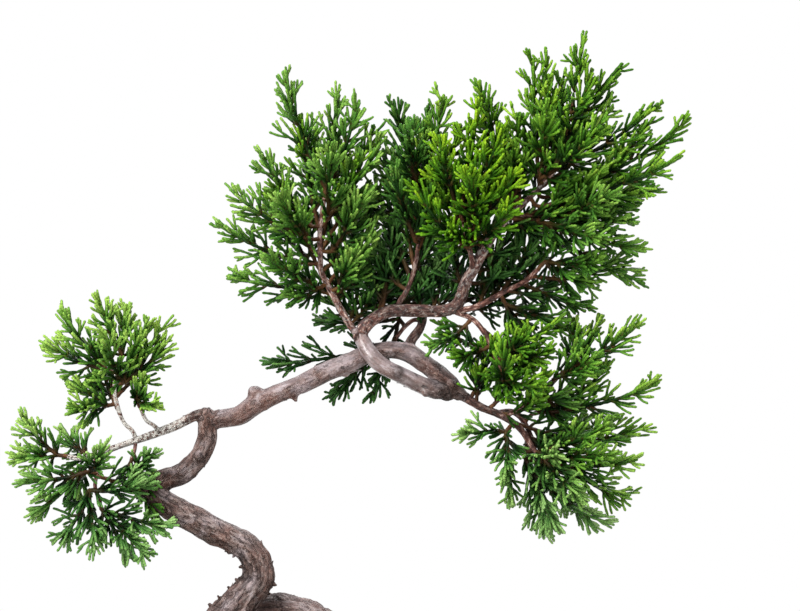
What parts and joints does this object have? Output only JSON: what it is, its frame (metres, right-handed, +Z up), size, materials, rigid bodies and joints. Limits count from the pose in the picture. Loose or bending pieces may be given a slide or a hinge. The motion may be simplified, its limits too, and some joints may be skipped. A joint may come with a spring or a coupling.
{
  "type": "itoigawa juniper bonsai",
  "caption": "Itoigawa juniper bonsai with a looping, twisted trunk and feathery sprays of green scale leaves, planted in a plain rectangular unglazed clay pot.",
  "frame": {"origin": "middle of the underside of the object's box, on the surface that the pot's feet stand on", "axes": "+Z up, +X to the viewer's right along the pot's long side, +Y away from the viewer along the pot's short side"},
  "size_m": [0.2072, 0.106, 0.2484],
  "materials": {
    "bark": "rough fibrous bark",
    "foliage": "living scale leaves, slightly waxy",
    "clay": "matt unglazed",
    "soil": "dry granules",
    "screen": "matt moulded"
  },
  "bodies": {
    "root": {"pot": "clay", "drain_screen_left": "screen", "drain_screen_right": "screen", "soil": "soil", "wood": "bark", "leafy_left_1": "foliage", "leafy_left_2": "foliage", "leafy_left_3": "foliage", "leafy_left_4": "foliage", "leafy_left_5": "foliage", "leafy_left_6": "foliage", "leafy_left_7": "foliage", "leafy_left_8": "foliage", "leafy_middle_1": "foliage", "leafy_middle_2": "foliage", "leafy_middle_3": "foliage", "leafy_back_1": "foliage", "leafy_back_2": "foliage", "leafy_front_1": "foliage", "leafy_front_2": "foliage", "leafy_front_3": "foliage", "leafy_top_1": "foliage", "leafy_top_2": "foliage", "leafy_top_3": "foliage", "leafy_top_4": "foliage", "leafy_top_5": "foliage", "leafy_top_6": "foliage", "leafy_top_7": "foliage", "leafy_outer_1": "foliage", "leafy_outer_2": "foliage", "leafy_outer_3": "foliage", "leafy_side_1": "foliage", "leafy_side_2": "foliage", "leafy_side_3": "foliage", "leafy_inner_1": "foliage", "leafy_inner_2": "foliage", "leafy_inner_3": "foliage", "leafy_low_1": "foliage", "leafy_low_2": "foliage", "leafy_low_3": "foliage", "leafy_low_4": "foliage", "leafy_low_5": "foliage", "leafy_low_6": "foliage", "leafy_low_7": "foliage", "leafy_low_8": "foliage", "leafy_low_9": "foliage", "leafy_low_10": "foliage", "leafy_far_1": "foliage", "leafy_far_2": "foliage", "leafy_far_3": "foliage", "leafy_far_4": "foliage", "leafy_far_5": "foliage", "leafy_far_6": "foliage", "leafy_far_7": "foliage", "leafy_far_8": "foliage", "leafy_far_9": "foliage", "leafy_far_10": "foliage", "leafy_far_11": "foliage", "leafy_behind_1": "foliage", "leafy_behind_2": "foliage"}
  },
  "joints": []
}
